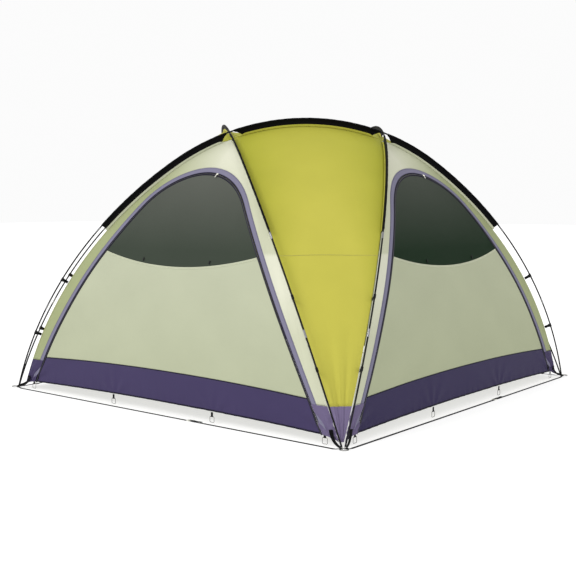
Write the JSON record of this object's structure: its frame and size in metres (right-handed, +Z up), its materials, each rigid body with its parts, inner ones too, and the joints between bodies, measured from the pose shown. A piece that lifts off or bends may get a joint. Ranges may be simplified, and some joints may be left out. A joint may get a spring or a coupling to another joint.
{
  "type": "dome event shelter",
  "caption": "Square dome event shelter: crossed arch poles in fabric sleeves carry a roof, corner gussets and side walls with zip-out arched doors that drop outwards.",
  "frame": {"origin": "centre of the square base, on the ground", "axes": "+Z up; the four sides face -Y (front), +X (right), +Y (back) and -X (left); the bright strip runs from the front right corner over the roof to the back left corner"},
  "size_m": [3.6028, 3.6028, 2.3149],
  "materials": {
    "pole_fibreglass": "satin glass fibre tube",
    "ferrule_steel": "drawn steel collar",
    "elastic_cord": "braided elastic",
    "sleeve_black": "coated polyester, matt",
    "clip_plastic": "moulded",
    "fabric_lime": "coated polyester taffeta, slight sheen",
    "fabric_cream": "coated polyester taffeta, slight sheen",
    "fabric_sage": "coated polyester taffeta, slight sheen",
    "insect_mesh": "fine knitted mesh over a panel",
    "skirt_navy": "coated polyester",
    "skirt_lavender": "coated polyester, wrinkled",
    "binding_lavender": "folded polyester binding",
    "zip_tape": "woven tape with coil teeth",
    "slider_metal": "plated",
    "ring_steel": "galvanised wire",
    "webbing_black": "woven polypropylene webbing"
  },
  "bodies": {
    "root": {"pole_front_right": "pole_fibreglass", "pole_back_right": "pole_fibreglass", "pole_back_left": "pole_fibreglass", "pole_front_left": "pole_fibreglass", "pole_ferrules": "ferrule_steel", "shock_cords": "elastic_cord", "sleeve_front_right": "sleeve_black", "sleeve_back_right": "sleeve_black", "sleeve_back_left": "sleeve_black", "sleeve_front_left": "sleeve_black", "pole_clips": "clip_plastic", "clip_tabs": "webbing_black", "roof_panel": "fabric_lime", "gusset_front_right": "fabric_lime", "gusset_back_right": "fabric_lime", "gusset_back_left": "fabric_lime", "gusset_front_left": "fabric_lime", "wall_front": "fabric_cream", "wall_right": "fabric_cream", "wall_back": "fabric_cream", "wall_left": "fabric_cream", "corner_skirts": "skirt_lavender", "door_bindings": "binding_lavender", "ground_straps": "webbing_black", "corner_rings": "ring_steel", "corner_pins": "ring_steel", "corner_webbing": "webbing_black", "jamb_ring_tabs": "webbing_black"},
    "door_front": {"door_panel_front": "fabric_sage", "door_mesh_front": "insect_mesh", "door_skirt_front": "skirt_navy", "door_zip_front": "zip_tape", "hem_ring_tabs_front": "webbing_black"},
    "zip_slider_front": {"zip_slider_front": "slider_metal"},
    "hem_rings_front": {"hem_rings_front": "ring_steel"},
    "jamb_rings_front": {"jamb_rings_front": "ring_steel"},
    "door_right": {"door_panel_right": "fabric_sage", "door_mesh_right": "insect_mesh", "door_skirt_right": "skirt_navy", "door_zip_right": "zip_tape", "hem_ring_tabs_right": "webbing_black"},
    "zip_slider_right": {"zip_slider_right": "slider_metal"},
    "hem_rings_right": {"hem_rings_right": "ring_steel"},
    "jamb_rings_right": {"jamb_rings_right": "ring_steel"},
    "door_back": {"door_panel_back": "fabric_sage", "door_mesh_back": "insect_mesh", "door_skirt_back": "skirt_navy", "door_zip_back": "zip_tape", "hem_ring_tabs_back": "webbing_black"},
    "zip_slider_back": {"zip_slider_back": "slider_metal"},
    "hem_rings_back": {"hem_rings_back": "ring_steel"},
    "jamb_rings_back": {"jamb_rings_back": "ring_steel"},
    "door_left": {"door_panel_left": "fabric_sage", "door_mesh_left": "insect_mesh", "door_skirt_left": "skirt_navy", "door_zip_left": "zip_tape", "hem_ring_tabs_left": "webbing_black"},
    "zip_slider_left": {"zip_slider_left": "slider_metal"},
    "hem_rings_left": {"hem_rings_left": "ring_steel"},
    "jamb_rings_left": {"jamb_rings_left": "ring_steel"}
  },
  "joints": [
    {"name": "door_front_drop", "type": "hinge", "parent": "root", "child": "door_front", "pos_m": [0, -1.71461, 0.066], "axis": [1, 0, 0], "range_deg": [0, 100]},
    {"name": "zip_front_slide", "type": "hinge", "parent": "door_front", "child": "zip_slider_front", "pos_m": [0, -1.53241, 1.4017], "axis": [0, -0.7998, 0.6003], "range_deg": [-6, 34]},
    {"name": "hem_rings_front_swing", "type": "hinge", "parent": "door_front", "child": "hem_rings_front", "pos_m": [0, -1.71621, 0.05], "axis": [1, 0, 0], "range_deg": [-80, 80]},
    {"name": "jamb_rings_front_swing", "type": "hinge", "parent": "root", "child": "jamb_rings_front", "pos_m": [0, -1.71621, 0.05], "axis": [1, 0, 0], "range_deg": [-80, 80]},
    {"name": "door_right_drop", "type": "hinge", "parent": "root", "child": "door_right", "pos_m": [1.71461, 0, 0.066], "axis": [0, 1, 0], "range_deg": [0, 100]},
    {"name": "zip_right_slide", "type": "hinge", "parent": "door_right", "child": "zip_slider_right", "pos_m": [1.53241, 0, 1.4017], "axis": [0.7998, 0, 0.6003], "range_deg": [-6, 34]},
    {"name": "hem_rings_right_swing", "type": "hinge", "parent": "door_right", "child": "hem_rings_right", "pos_m": [1.71621, 0, 0.05], "axis": [0, 1, 0], "range_deg": [-80, 80]},
    {"name": "jamb_rings_right_swing", "type": "hinge", "parent": "root", "child": "jamb_rings_right", "pos_m": [1.71621, 0, 0.05], "axis": [0, 1, 0], "range_deg": [-80, 80]},
    {"name": "door_back_drop", "type": "hinge", "parent": "root", "child": "door_back", "pos_m": [0, 1.71461, 0.066], "axis": [-1, 0, 0], "range_deg": [0, 100]},
    {"name": "zip_back_slide", "type": "hinge", "parent": "door_back", "child": "zip_slider_back", "pos_m": [0, 1.53241, 1.4017], "axis": [0, 0.7998, 0.6003], "range_deg": [-6, 34]},
    {"name": "hem_rings_back_swing", "type": "hinge", "parent": "door_back", "child": "hem_rings_back", "pos_m": [0, 1.71621, 0.05], "axis": [-1, 0, 0], "range_deg": [-80, 80]},
    {"name": "jamb_rings_back_swing", "type": "hinge", "parent": "root", "child": "jamb_rings_back", "pos_m": [0, 1.71621, 0.05], "axis": [-1, 0, 0], "range_deg": [-80, 80]},
    {"name": "door_left_drop", "type": "hinge", "parent": "root", "child": "door_left", "pos_m": [-1.71461, 0, 0.066], "axis": [0, -1, 0], "range_deg": [0, 100]},
    {"name": "zip_left_slide", "type": "hinge", "parent": "door_left", "child": "zip_slider_left", "pos_m": [-1.53241, 0, 1.4017], "axis": [-0.7998, 0, 0.6003], "range_deg": [-6, 34]},
    {"name": "hem_rings_left_swing", "type": "hinge", "parent": "door_left", "child": "hem_rings_left", "pos_m": [-1.71621, 0, 0.05], "axis": [0, -1, 0], "range_deg": [-80, 80]},
    {"name": "jamb_rings_left_swing", "type": "hinge", "parent": "root", "child": "jamb_rings_left", "pos_m": [-1.71621, 0, 0.05], "axis": [0, -1, 0], "range_deg": [-80, 80]}
  ]
}
